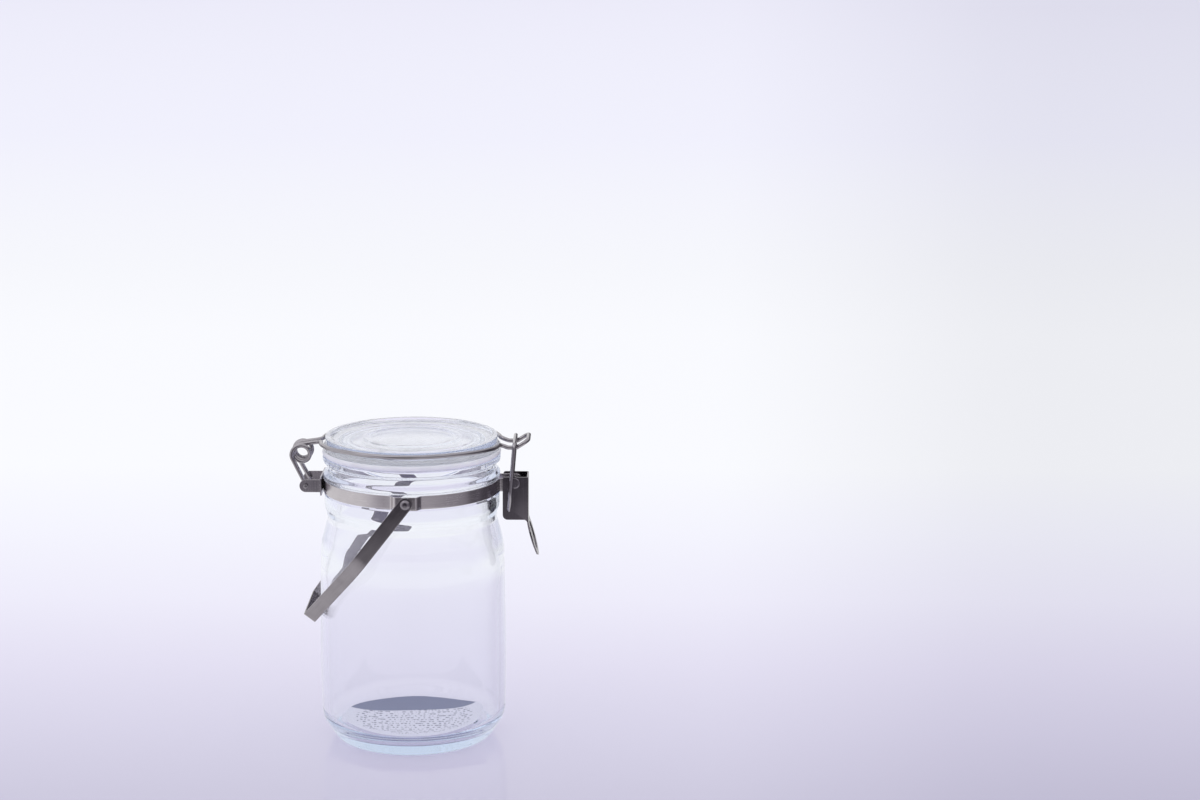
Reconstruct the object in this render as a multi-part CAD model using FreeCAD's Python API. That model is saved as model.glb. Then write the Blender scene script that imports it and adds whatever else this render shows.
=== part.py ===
"""Preserving jar with a clamped glass lid and a steel carry handle.

Millimetres, +Z up, the origin at the centre of the foot. The lid hinges at -X, the clamp is at +X and
the handle's rivets are at -Y and +Y. Each piece of the jar is one solid in a node of its own.
"""
import FreeCAD, Part
import math
import os

V = FreeCAD.Vector
X_AXIS = V(1, 0, 0)
Y_AXIS = V(0, 1, 0)
Z_AXIS = V(0, 0, 1)

# glass body
body_radius = 53.0          # at its widest, a third of the way up
heel_inset = 0.7            # how much narrower the side is where it meets the rounded heel
heel_round = 14.0           # radius of the heel
widest_height = 42.0
side_top_height = 112.0     # the shoulder starts here
side_top_inset = 1.0        # how much narrower the side is there
foot_inset = 11.3           # from the heel in to the flat ring that the jar stands on
foot_width = 4.0
punt_height = 2.6           # the underside is hollowed by this much
floor_thickness = 8.2
side_wall = 3.8

# neck, seen from below: waist, bead, seat of the band, bead, neck, rim
seat_radius = 48.9
shoulder_rise = 17.5        # from the top of the side to the waist
waist_inset = 0.9           # this and the next values are from the seat's radius
lower_bead = 0.6
upper_bead = 0.9
neck_inset = 1.1
rim_lip = 1.2
waist_to_bead = 2.5
bead_to_band = 16.0         # from the bead's foot to the band's middle
band_height = 7.5
seat_play = 0.5             # between the band's edges and the beads
upper_bead_height = 2.4
band_to_rim = 13.6          # from the band's middle to the rim's foot
rim_height = 3.4
mouth_wall = 7.1            # from the rim in to the mouth

# lid and gasket
gasket_gap = 0.1            # the gasket lies on the rim with this gap
gasket_height = 3.3
gasket_lip = 0.1            # how far the gasket stands out past the rim
gasket_play = 0.4           # round the lid's plug
flange_inset = 0.1          # from the rim's edge
flange_edge = 1.7           # height of the flange's outer edge
plug_play = 2.4             # round the plug, so that it swings out of the mouth
plug_taper = 1.0            # the plug is this much narrower at its lower end
plug_depth = 4.6
plug_ring = 4.5             # width of the plug's ring
lid_root_inset = 1.8        # from the flange's edge to the foot of the lid's upper edge
lid_edge_inset = 1.5
lid_height = 7.1            # from the gasket's top to the lid's crest
crest_width = 4.9           # from the lid's upper edge to the recess
recess_depth = 1.3
dial_radius = 26.5          # raised ring in the recess
dial_height = 0.5
lid_centre_thickness = 5.2

# spring wire round the lid
wire_d = 2.4
wire_gap = 0.3              # between the ring and the lid's upper edge
wire_ring_drop = 1.6        # the ring sinks towards the hinge and the clamp by this much
wire_ring_spread = 0.7      # and widens there to this much outside the flange
wire_ring_height = 2.0      # wire's centre under the lid's crest, half way round
ring_level = 0.45           # middle part of the ring that stays level and round
hook_half = 9.1             # half the distance between the hook's wires
hook_flat_height = 5.3      # hook's wires under the lid's crest
hook_past_bar = 1.1         # from the link's bar to the bend where the hook rises
hook_reach = 6.5            # from that bend to the hook's tip
hook_rise = 4.2
hinge_arm_half = 3.0        # half the distance between the wires at the hinge
coil_back = 2.6             # from the hinge back to the coil's centre
coil_height = 10.2          # coil's centre under the lid's crest
coil_radius = 4.4           # to the wire's centre, half way along the coil
coil_arm_growth = 0.7       # the coil is wider by this much where its arm leaves it
coil_leg_growth = 1.4       # and by this much where its leg leaves it
coil_half = 7.9             # half the distance between the coils' outer turns
leg_half = 9.1              # half the distance between the legs' feet at the ears
ring_steps = 9
coil_steps = 10

# band and hinge bracket
sheet = 0.8                 # thickness of the pressed steel
band_gap = 0.2              # between the band and its seat
bracket_gap = 0.1
bracket_half_width = 13.0
bracket_half_height = 5.4
hinge_reach = 9.0           # from the band to the hinge's axis
ear_gap = 0.2               # between the ears and the wire's legs
ear_half_height = 3.6
wire_play = 0.05            # radial, of a wire or pin in its hole
boss_half_width = 6.5       # pads that carry the handle's rivets
boss_foot = 1.6             # how far a pad's feet reach along the band
boss_gap = 0.4              # between a pad and the strap

# clamp lever
lever_reach = 8.3           # from the band to the lever's pivot
lever_pivot_above_band = 1.4
lever_half_width = 7.8      # to the cheeks' outer faces
lever_back = 6.8            # from the pivot to the cheeks' inner edge
lever_front = 7.6           # from the pivot to the front's outer face
lever_top_above_band = 4.8
lever_bottom_below_band = 19.8
lever_corner = 2.8
paddle_length = 21.8
paddle_lean = 15.5          # degrees
paddle_half_width = 10.9
paddle_flare = 5.6          # height over which the paddle widens
paddle_dish_margin = 3.5    # plain rim round the dish
paddle_dish = 0.5
lever_pin_d = 4.0
lever_pin_head_d = 6.0
lever_pin_head = 0.9
running_gap = 0.15          # between faces that turn past each other
catch_gap = 0.4             # between the band's turned ends and the cheeks
catch_past_pin = 3.6

# clamp link
link_d = 2.2
link_pivot_back = 3.2       # from the lever's pivot back to the link's
link_pivot_below_band = 13.9
link_bar_out = 0.0          # from the lever's pivot out to the bar
link_bar_gap = 0.35         # between the link's bar and the hook's wires
link_top_half = 14.2
link_bottom_half = 15.8
link_elbow_rise = 9.0
link_end_reach = 1.0        # how far the link's ends stand inside the cheeks

# handle
strap_width = 7.8
strap_thickness = 1.2
strap_gap = 0.4             # between the strap and the jar's widest part
arm_length = 46.8           # straight arm, from the rivet
grip_half = 23.0
grip_distance = 92.7        # from the rivets' axis to the grip
strap_bend = 3.0
wall_gap = 0.3              # between the hanging handle and the jar's side
rivet_d = 3.2
rivet_head_d = 5.8
rivet_head = 1.6
rivet_foot_d = 5.0
rivet_foot = 0.7

# paper leaflet
leaflet_margin = 9.0        # between its edge and the jar's inside wall
leaflet_thickness = 0.5
leaflet_lift = 0.2

TINY = 1e-6
heel_radius = body_radius - heel_inset
side_top_radius = body_radius - side_top_inset
foot_outer = heel_radius - foot_inset
foot_inner = foot_outer - foot_width
inside_radius = heel_radius - side_wall
waist_radius = seat_radius - waist_inset
lower_bead_radius = seat_radius + lower_bead
upper_bead_radius = seat_radius + upper_bead
neck_radius = seat_radius - neck_inset
rim_radius = seat_radius + rim_lip
mouth_radius = rim_radius - mouth_wall
waist_height = side_top_height + shoulder_rise
lower_bead_bottom = waist_height + waist_to_bead
band_middle = lower_bead_bottom + bead_to_band
band_bottom = band_middle - band_height / 2
band_top = band_middle + band_height / 2
rim_bottom = band_middle + band_to_rim
rim_top = rim_bottom + rim_height
gasket_radius = rim_radius + gasket_lip
gasket_bottom = rim_top + gasket_gap
gasket_top = gasket_bottom + gasket_height
plug_radius = mouth_radius - plug_play
flange_radius = rim_radius - flange_inset
flange_top = gasket_top + flange_edge
lid_root_radius = flange_radius - lid_root_inset
lid_edge_radius = flange_radius - lid_edge_inset
recess_radius = lid_edge_radius - crest_width
lid_top = gasket_top + lid_height
band_inner = seat_radius + band_gap
band_outer = band_inner + sheet
bracket_x = -(band_outer + bracket_gap)
hinge_x = -(band_outer + hinge_reach)
ear_half = leg_half + wire_d / 2 + ear_gap
coil_x = hinge_x - coil_back
coil_z = lid_top - coil_height
wire_ring_radius = lid_edge_radius + wire_gap + wire_d / 2
lever_pivot_x = band_outer + lever_reach
lever_pivot_z = band_middle + lever_pivot_above_band
lever_inner_x = lever_pivot_x - lever_back
lever_outer_x = lever_pivot_x + lever_front
lever_top = band_middle + lever_top_above_band
lever_bottom = band_middle - lever_bottom_below_band
catch_half = lever_half_width - sheet - catch_gap
catch_end_x = lever_pivot_x + catch_past_pin
link_pivot_x = lever_pivot_x - link_pivot_back
link_pivot_z = band_middle - link_pivot_below_band
link_bar_x = lever_pivot_x + link_bar_out
link_end_half = lever_half_width - sheet - link_end_reach
hook_z = lid_top - hook_flat_height
hook_bend_x = link_bar_x + hook_past_bar
hook_tip_x = hook_bend_x + hook_reach
link_bar_z = hook_z + wire_d / 2 + link_bar_gap + link_d / 2
arm_half = body_radius + strap_gap + strap_thickness / 2
boss_face = arm_half - strap_thickness / 2 - boss_gap
handle_z = band_middle
leaflet_radius = inside_radius - leaflet_margin


def joined(points, radii, closed=False):
    """Edges through the points: straight runs joined by arcs that are tangent to both runs."""
    last = len(points) - 1
    bends = []
    for i, (point, radius) in enumerate(zip(points, radii)):
        if radius == 0 or (not closed and i in (0, last)):
            bends.append((point, None, point))
            continue
        back = (points[i - 1] - point).normalize()
        ahead = (points[(i + 1) % len(points)] - point).normalize()
        half = back.getAngle(ahead) / 2
        inward = (back + ahead).normalize()
        reach = radius / math.tan(half)
        middle = point + inward * (radius / math.sin(half) - radius)
        bends.append((point + back * reach, middle, point + ahead * reach))
    edges = []
    for i, (start, middle, end) in enumerate(bends):
        if middle is not None:
            edges.append(Part.Arc(start, middle, end).toShape())
        if i == last and not closed:
            break
        following = bends[(i + 1) % len(bends)][0]
        if (following - end).Length > TINY:
            edges.append(Part.LineSegment(end, following).toShape())
    return edges


def outline(corners, place):
    """Closed face through corners (a, b, rounding), with place(a, b) giving each corner in space."""
    points = [place(a, b) for a, b, _ in corners]
    return Part.Face(Part.Wire(joined(points, [c[2] for c in corners], closed=True)))


def in_xz(x, z):
    return V(x, 0, z)


def in_yz(y, z):
    return V(0, y, z)


def turned(corners):
    """Solid of revolution about the jar's axis, from corners (radius, height, rounding)."""
    return outline(corners, in_xz).revolve(V(0, 0, 0), Z_AXIS, 360)


def widest_bend(points, i, share=0.499):
    """Largest radius at a point that leaves each of its two runs half free."""
    back = points[i - 1] - points[i]
    ahead = points[i + 1] - points[i]
    return share * min(back.Length, ahead.Length) * math.tan(back.getAngle(ahead) / 2)


def wire_along(route, diameter):
    """Round wire along a route of (point, bend radius); a radius of None is as wide as fits."""
    points = [point for point, _ in route]
    radii = [widest_bend(points, i) if radius is None else radius for i, (_, radius) in enumerate(route)]
    path = Part.Wire(joined(points, radii))
    section = Part.Circle(points[0], points[1] - points[0], diameter / 2).toShape()
    return path.makePipeShell([Part.Wire(section)], True, False)


def mirrored(route):
    """The route, then its mirror image across the jar's XZ plane back to the start."""
    return route + [(V(p.x, -p.y, p.z), radius) for p, radius in reversed(route)]


def strip(points, radii, thickness, place):
    """Face of a bent sheet: both sides run at half the thickness from the points' line."""
    sides = []
    for side in (1, -1):
        shift = side * thickness / 2
        edge_points, edge_radii = [], []
        for i, (a, b) in enumerate(points):
            back = points[i - 1] if i else None
            ahead = points[i + 1] if i + 1 < len(points) else None
            normals = []
            for p, q in ((back, (a, b)), ((a, b), ahead)):
                if p is None or q is None:
                    continue
                length = math.hypot(q[0] - p[0], q[1] - p[1])
                normals.append(((p[1] - q[1]) / length, (q[0] - p[0]) / length))
            na, nb = normals[0]
            ma, mb = normals[-1]
            mitre = shift / (1 + na * ma + nb * mb)
            edge_points.append((a + (na + ma) * mitre, b + (nb + mb) * mitre))
            turn = na * mb - nb * ma
            inside = math.copysign(1, turn) if abs(turn) > TINY else 0
            edge_radii.append(radii[i] - inside * shift if radii[i] else 0)
        sides.append(list(zip(edge_points, edge_radii)))
    corners = [(a, b, r) for (a, b), r in sides[0] + sides[1][::-1]]
    return outline(corners, place)


def plate(corners, place, middle, thickness, direction):
    """Flat plate of an outline, centred on middle along its direction."""
    face = outline(corners, place)
    face.translate(direction * (middle - thickness / 2))
    return face.extrude(direction * thickness)


def peg(x, y, z, diameter, length):
    """Round bar along Y that starts at y."""
    return Part.makeCylinder(diameter / 2, length, V(x, y, z), Y_AXIS)


def jar_glass():
    """Blown glass body: hollowed foot, round heel, barrel side, shoulder, beaded neck and rim."""
    seat_bottom = band_bottom - seat_play
    seat_top = band_top + seat_play
    outside = [
        (0, punt_height, 0),
        (foot_inner - 5, punt_height, 5),
        (foot_inner, 0, 0.6),
        (foot_outer, 0, 3),
        (heel_radius - 0.55 * heel_round, 1.2, 9),
        (heel_radius, 0.95 * heel_round, heel_round),
        (body_radius + 0.2, widest_height, 800),
        (side_top_radius, side_top_height, 40),
        (side_top_radius - 1.9, side_top_height + 8.0, 25),
        (waist_radius, waist_height - 1.5, 6),
        (waist_radius, lower_bead_bottom - 0.6, 1.2),
        (lower_bead_radius, lower_bead_bottom + 4.0, 8),
        (lower_bead_radius, seat_bottom - 0.9, 0.8),
        (seat_radius, seat_bottom, 0),
        (seat_radius, seat_top, 0),
        (upper_bead_radius, seat_top + 0.5, 0.5),
        (upper_bead_radius, seat_top + upper_bead_height, 1.2),
        (neck_radius, seat_top + upper_bead_height + 1.8, 1.5),
        (neck_radius, rim_bottom - 1.0, 1.4),
        (rim_radius, rim_bottom + 0.2, 0.9),
        (rim_radius, rim_top, 0.8),
    ]
    inside = [
        (mouth_radius, rim_top, 1.2),
        (mouth_radius, waist_height + 6, 14),
        (side_top_radius - side_wall - 2.0, side_top_height + 6, 30),
        (body_radius - side_wall, side_top_height - 14, 60),
        (body_radius - side_wall, widest_height, 800),
        (inside_radius, floor_thickness + 6.5, 8),
        (inside_radius - 6.5, floor_thickness, 8),
        (0, floor_thickness, 0),
    ]
    return turned(outside + inside)


def lid_glass():
    """Pressed glass lid: plug ring below, flange on the gasket, upper edge, recess and raised ring."""
    recess_z = lid_top - recess_depth
    under = lid_top - recess_depth - lid_centre_thickness
    low = gasket_top - plug_depth
    return turned([
        (0, under, 0),
        (plug_radius - plug_taper - plug_ring, under, 1.5),
        (plug_radius - plug_taper - plug_ring + 0.8, low, 1.2),
        (plug_radius - plug_taper, low, 1.4),
        (plug_radius, gasket_top, 0.6),
        (flange_radius, gasket_top, 0.5),
        (flange_radius, flange_top, 0.6),
        (lid_root_radius, flange_top + 2.0, 0.5),
        (lid_root_radius, lid_top - 1.3, 0),
        (lid_edge_radius, lid_top - 1.0, 0.2),
        (lid_edge_radius, lid_top, 0.8),
        (recess_radius + 2.4, lid_top, 1.6),
        (recess_radius, recess_z, 1.2),
        (dial_radius + 1.0, recess_z, 0.8),
        (dial_radius, recess_z + dial_height, 0.8),
        (dial_radius - 1.6, recess_z + dial_height, 0.8),
        (dial_radius - 2.6, recess_z, 0.8),
        (0, recess_z, 0),
    ])


def gasket():
    """Soft ring between the rim and the lid's flange, with a rounded outer edge."""
    inner = plug_radius + gasket_play
    return turned([
        (inner, gasket_bottom, 0.4),
        (gasket_radius, gasket_bottom, 1.0),
        (gasket_radius, gasket_top, 1.0),
        (inner, gasket_top, 0.4),
    ])


def tangent_angle(point, radius, side):
    """Angle on a turn of the coil, in radians, where a line from the point touches it."""
    across, up = point[0] - coil_x, point[1] - coil_z
    return math.atan2(up, across) + side * math.acos(radius / math.hypot(across, up))


def lid_wire():
    """One spring wire: ears, coils, arms, a ring round the lid and the closed hook at the clamp."""
    ring_z = lid_top - wire_ring_height
    low_z = ring_z - wire_ring_drop
    end_radius = flange_radius + wire_ring_spread
    left = -math.sqrt(end_radius ** 2 - hinge_arm_half ** 2)
    start = math.pi + math.asin(hinge_arm_half / end_radius)
    end = 2 * math.pi - math.asin(hook_half / end_radius)

    # from the ear, up the leg and round the coil
    last = tangent_angle((hinge_x, band_middle), coil_radius + coil_leg_growth, -1) + 2 * math.pi
    first = tangent_angle((left, low_z), coil_radius + coil_arm_growth, 1)
    turn = (last + 2 * math.pi - first) % (2 * math.pi) + 2 * math.pi
    step = turn / coil_steps
    route = [(V(hinge_x, -ear_half - 2.6, band_middle), 0), (V(hinge_x, -leg_half, band_middle), 1.3)]
    for k in reversed(range(coil_steps)):
        angle = first + (k + 0.5) * step
        share = (k + 0.5) / coil_steps
        y = -(hinge_arm_half + (coil_half - hinge_arm_half) * share)
        radius = coil_radius + coil_arm_growth * (1 - share) ** 4 + coil_leg_growth * share ** 4
        reach = radius / math.cos(step / 2)
        route.append((V(coil_x + reach * math.cos(angle), y, coil_z + reach * math.sin(angle)), None))

    # along the arm and half way round the lid
    route.append((V(left, -hinge_arm_half, low_z), 3.4))
    step = (end - start) / ring_steps
    for k in range(ring_steps):
        angle = start + (k + 0.5) * step
        off_middle = abs((2 * k + 1) / ring_steps - 1)
        share = max(0.0, off_middle - ring_level) / (1 - 1 / ring_steps - ring_level)
        radius = (wire_ring_radius + (end_radius - wire_ring_radius) * share) / math.cos(step / 2)
        point = V(radius * math.cos(angle), radius * math.sin(angle), ring_z - wire_ring_drop * share)
        route.append((point, None))

    # the hook's arm, its rise and half of its closed end
    arm_x = math.sqrt(end_radius ** 2 - hook_half ** 2)
    route.append((V(arm_x, -hook_half, low_z), 3.4))
    route.append((V(arm_x + 4.6, -hook_half, hook_z), 4))
    route.append((V(hook_bend_x, -hook_half, hook_z), 2.6))
    route.append((V(hook_tip_x, -hook_half, hook_z + hook_rise), 3.6))
    return wire_along(mirrored(route), wire_d)


def neck_band():
    """Band round the neck, with a pressed pad for each rivet and two turned ends for the lever's pin."""
    band = Part.makeCylinder(band_outer, band_height, V(0, 0, band_bottom))
    band = band.cut(Part.makeCylinder(band_inner, band_height, V(0, 0, band_bottom)))
    inside = catch_half - sheet
    band = band.cut(Part.makeBox(2 * sheet + band_outer, 2 * inside, band_height, V(0, -inside, band_bottom)))
    pads = []
    for side in (1, -1):
        line = [
            (-boss_half_width - boss_foot, side * (band_inner + 0.1)),
            (-boss_half_width + 0.6, side * (boss_face - sheet / 2)),
            (boss_half_width - 0.6, side * (boss_face - sheet / 2)),
            (boss_half_width + boss_foot, side * (band_inner + 0.1)),
        ]
        pad = strip(line, [0, 1.2, 1.2, 0], sheet, lambda x, y: V(x, y, band_bottom))
        pads.append(pad.extrude(Z_AXIS * band_height))
        low = -band_outer if side < 0 else seat_radius - 4
        width = band_outer - seat_radius + 4
        window = Part.makeBox(2 * boss_half_width, width, band_height, V(-boss_half_width, low, band_bottom))
        band = band.cut(window)
    root = math.sqrt(band_inner ** 2 - catch_half ** 2)
    half = band_height / 2
    catch = [
        (root, band_bottom, 0),
        (catch_end_x, band_bottom, half - 0.3),
        (catch_end_x, band_top, half - 0.3),
        (root, band_top, 0),
    ]
    ends = [plate(catch, in_xz, side * (catch_half - sheet / 2), sheet, Y_AXIS) for side in (1, -1)]
    band = band.fuse(pads + ends)
    hole = rivet_d / 2 + wire_play
    band = band.cut(Part.makeCylinder(hole, 4 * body_radius, V(0, -2 * body_radius, handle_z), Y_AXIS))
    band = band.cut(
        peg(lever_pivot_x, -2 * catch_half, lever_pivot_z, lever_pin_d + 2 * wire_play, 4 * catch_half)
    )
    inner = Part.makeCylinder(band_inner, band_height, V(0, 0, band_bottom))
    return band.cut(inner).removeSplitter()


def hinge_bracket():
    """Plate behind the hinge with two ears bent out of it; the spring wire's ends turn in the ears."""
    back = Part.makeBox(
        sheet, 2 * bracket_half_width, 2 * bracket_half_height,
        V(bracket_x - sheet, -bracket_half_width, band_middle - bracket_half_height),
    )
    back = back.makeFillet(1.2, [e for e in back.Edges if abs(e.Vertexes[0].X - e.Vertexes[1].X) > TINY])
    low, high = band_middle - ear_half_height, band_middle + ear_half_height
    tip = hinge_x - ear_half_height
    ear = [
        (bracket_x - sheet / 2, low, 0),
        (bracket_x - sheet / 2, high, 0),
        (tip, high, ear_half_height - 0.05),
        (tip, low, ear_half_height - 0.05),
    ]
    ears = [plate(ear, in_xz, side * (ear_half + sheet / 2), sheet, Y_AXIS) for side in (1, -1)]
    bracket = back.fuse(ears)
    hole = wire_d + 2 * wire_play
    return bracket.cut(peg(hinge_x, -2 * ear_half, band_middle, hole, 4 * ear_half)).removeSplitter()


def latch_lever():
    """Pressed lever: two cheeks, the front between them and a dished paddle that leans outwards."""
    cheek_top = lever_top
    front = lever_outer_x - sheet / 2
    foot = lever_bottom - 0.9
    cheek = [
        (lever_inner_x, cheek_top, 1.2),
        (lever_outer_x, cheek_top, 0.8),
        (lever_outer_x, foot, 0),
        (lever_outer_x - sheet, foot, 0),
        (lever_outer_x - sheet - 1.2, lever_bottom, 1.0),
        (lever_inner_x, lever_bottom, lever_corner),
    ]
    cheeks = [plate(cheek, in_xz, s * (lever_half_width - sheet / 2), sheet, Y_AXIS) for s in (1, -1)]
    lean = math.radians(paddle_lean)
    end = (front + paddle_length * math.sin(lean), foot - paddle_length * math.cos(lean))
    line = [(front, cheek_top), (front, foot), end]
    bend = [0, 3.0, 0]
    face = [
        (-lever_half_width, cheek_top, 0.8),
        (-lever_half_width, foot, 2),
        (-paddle_half_width, foot - paddle_flare, 3),
        (-paddle_half_width, end[1], paddle_half_width - 0.1),
        (paddle_half_width, end[1], paddle_half_width - 0.1),
        (paddle_half_width, foot - paddle_flare, 3),
        (lever_half_width, foot, 2),
        (lever_half_width, cheek_top, 0.8),
    ]
    wide = 4 * paddle_half_width

    def sheet_of(shift):
        moved = [(x - shift * math.cos(lean), z - shift * math.sin(lean)) for x, z in line]
        return strip(moved, bend, sheet, lambda x, z: V(x, -wide / 2, z)).extrude(Y_AXIS * wide)

    def seen_from_front(corners):
        prism = outline(corners, in_yz)
        return prism.extrude(X_AXIS * 2 * lever_outer_x)

    dish_half = paddle_half_width - paddle_dish_margin
    dish_top, dish_bottom = foot - paddle_dish_margin / 2, end[1] + paddle_dish_margin

    def oval(grow):
        half = dish_half + grow
        high, low = dish_top + grow, dish_bottom - grow
        rounding = min(half, (high - low) / 2) - 0.1
        return [(-half, high, rounding), (-half, low, rounding), (half, low, rounding), (half, high, rounding)]

    blade = sheet_of(0).common(seen_from_front(face)).cut(seen_from_front(oval(0)))
    dish = sheet_of(paddle_dish).common(seen_from_front(oval(0.4)))
    lever = blade.fuse(cheeks + [dish])
    lever = lever.cut(peg(lever_pivot_x, -wide, lever_pivot_z, lever_pin_d + 2 * wire_play, 2 * wide))
    return lever.cut(peg(link_pivot_x, -wide, link_pivot_z, link_d + 2 * wire_play, 2 * wide)).removeSplitter()


def lever_pin():
    """Rivet across the lever's cheeks and the band's turned ends."""
    half = lever_half_width + running_gap
    pin = peg(lever_pivot_x, -half, lever_pivot_z, lever_pin_d, 2 * half)
    heads = []
    for y in (-half - lever_pin_head, half):
        head = peg(lever_pivot_x, y, lever_pivot_z, lever_pin_head_d, lever_pin_head)
        rim = [e for e in head.Edges if e.Closed and abs(abs(e.CenterOfMass.y) - half - lever_pin_head) < TINY]
        heads.append(head.makeFillet(0.5, rim))
    return pin.fuse(heads).removeSplitter()


def latch_link():
    """Wire link: ends in the lever's cheeks, elbows, two legs and the bar that holds the hook down."""
    route = [
        (V(link_pivot_x, -link_end_half, link_pivot_z), 0),
        (V(link_pivot_x, -lever_half_width - 2.7, link_pivot_z), 3.0),
        (V(link_pivot_x + 0.8, -link_bottom_half, link_pivot_z + link_elbow_rise), 9),
        (V(link_bar_x, -link_top_half, link_bar_z), 2.4),
    ]
    return wire_along(mirrored(route), link_d)


def hanging_angle():
    """Degrees between the hanging handle and straight down, where its edge meets the jar's side."""
    inner = grip_distance - strap_thickness / 2
    half = strap_width / 2
    below_level = math.acos((body_radius + wall_gap) / math.hypot(inner, half)) - math.atan(half / inner)
    return 90 - math.degrees(below_level)


def handle_strap():
    """Flat strap bent to a five-sided bow, with a round eye on each rivet; it hangs against the jar."""
    line = [
        (-arm_half, handle_z),
        (-arm_half, handle_z - arm_length),
        (-grip_half, handle_z - grip_distance),
        (grip_half, handle_z - grip_distance),
        (arm_half, handle_z - arm_length),
        (arm_half, handle_z),
    ]
    bends = [0, strap_bend, strap_bend, strap_bend, strap_bend, 0]
    bow = strip(line, bends, strap_thickness, lambda y, z: V(-strap_width / 2, y, z))
    bow = bow.extrude(X_AXIS * strap_width)
    eyes, holes = [], []
    for side in (1, -1):
        y = side * arm_half - strap_thickness / 2
        eyes.append(peg(0, y, handle_z, strap_width, strap_thickness))
        holes.append(peg(0, y, handle_z, rivet_d + 2 * wire_play, strap_thickness))
    bow = bow.fuse(eyes).cut(holes[0]).cut(holes[1]).removeSplitter()
    bow.rotate(V(0, 0, handle_z), Y_AXIS, hanging_angle())
    return bow


def handle_rivet(side):
    """Rivet with a domed head outside the strap and a flat foot behind the band's pad."""
    outer = arm_half + strap_thickness / 2 + running_gap
    inner = boss_face - sheet - rivet_foot
    radius = rivet_head_d / 2
    dome = (radius ** 2 + rivet_head ** 2) / (2 * rivet_head)
    head = Part.makeSphere(dome, V(0, outer + rivet_head - dome, handle_z))
    head = head.common(peg(0, outer, handle_z, 2 * dome, rivet_head))
    shank = peg(0, inner, handle_z, rivet_d, outer - inner + rivet_head / 4)
    foot = peg(0, inner, handle_z, rivet_foot_d, rivet_foot)
    rivet = head.fuse([shank, foot]).removeSplitter()
    if side < 0:
        rivet.rotate(V(0, 0, 0), Z_AXIS, 180)
    return rivet


def leaflet():
    """Round paper leaflet that lies in the bottom of the jar."""
    return Part.makeCylinder(leaflet_radius, leaflet_thickness, V(0, 0, floor_thickness + leaflet_lift))


def main():
    nodes = {
        "jar_glass": jar_glass(),
        "lid_glass": lid_glass(),
        "gasket": gasket(),
        "lid_wire": lid_wire(),
        "neck_band": neck_band(),
        "hinge_bracket": hinge_bracket(),
        "latch_lever": latch_lever(),
        "lever_pin": lever_pin(),
        "latch_link": latch_link(),
        "handle_strap": handle_strap(),
        "handle_rivet_front": handle_rivet(-1),
        "handle_rivet_back": handle_rivet(1),
        "leaflet": leaflet(),
    }
    os.makedirs("parts", exist_ok=True)
    for name, shape in nodes.items():
        solid = shape.Solids[0]
        box = solid.BoundBox
        print(
            f"{name}: {len(shape.Solids)} solid, valid {shape.isValid()}, {solid.Volume / 1000:.2f} cm3, "
            f"{len(solid.Faces)} faces, x {box.XMin:.1f} {box.XMax:.1f}, y {box.YMin:.1f} {box.YMax:.1f}, "
            f"z {box.ZMin:.1f} {box.ZMax:.1f}"
        )
        solid.exportStep(f"parts/{name}.step")


main()
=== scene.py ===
"""Looks of the preserving jar: clear glass, pressed steel and spring wire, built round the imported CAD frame.

Shapes are worked out in millimetres, +Z up, with the origin at the centre of the foot. The lid hinges at -X
and the clamp is at +X.
"""

import bmesh
import bpy
import numpy as np
from mathutils import Matrix


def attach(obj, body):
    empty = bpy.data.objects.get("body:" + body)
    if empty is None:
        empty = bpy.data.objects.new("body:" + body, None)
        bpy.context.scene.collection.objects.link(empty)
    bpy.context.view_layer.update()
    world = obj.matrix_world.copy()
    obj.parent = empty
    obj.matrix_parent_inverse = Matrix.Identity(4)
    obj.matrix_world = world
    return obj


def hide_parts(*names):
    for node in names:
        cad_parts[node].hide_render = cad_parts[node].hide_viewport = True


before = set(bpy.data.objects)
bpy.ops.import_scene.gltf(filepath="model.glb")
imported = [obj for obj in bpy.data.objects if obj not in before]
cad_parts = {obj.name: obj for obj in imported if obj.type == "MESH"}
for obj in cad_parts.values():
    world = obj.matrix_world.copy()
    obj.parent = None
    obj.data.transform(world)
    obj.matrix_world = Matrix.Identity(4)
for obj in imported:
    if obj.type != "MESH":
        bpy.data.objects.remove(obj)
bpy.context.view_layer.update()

# heights, radii and places that several pieces share, in millimetres
BAND_MIDDLE = 148.0
BAND_HALF = 3.75
BAND_RADIUS = 49.5          # to the middle of the sheet
SHEET = 0.8
GASKET_BOTTOM = 165.1
GASKET_TOP = 168.4
LID_TOP = 175.5
FLOOR_INSIDE = 8.2
WIRE_RADIUS = 1.2
LINK_RADIUS = 1.1
STRAP_HALF = 3.9            # half the width of the handle's strap
STRAP_THICKNESS = 1.2
HINGE = np.array([-58.9, BAND_MIDDLE])      # x and z of the lid's hinge
LEVER_PIN = np.array([58.2, 149.4])         # x and z of the lever's pin
WIDEST = np.inf             # a bend as wide as its two runs allow
LEAN = np.array([0.5, 0.6, 0.62])   # no wire of the jar runs this way, so tube sides can be measured from it


def unit(v):
    return v / np.maximum(np.linalg.norm(v, axis=-1, keepdims=True), 1e-12)


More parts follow.
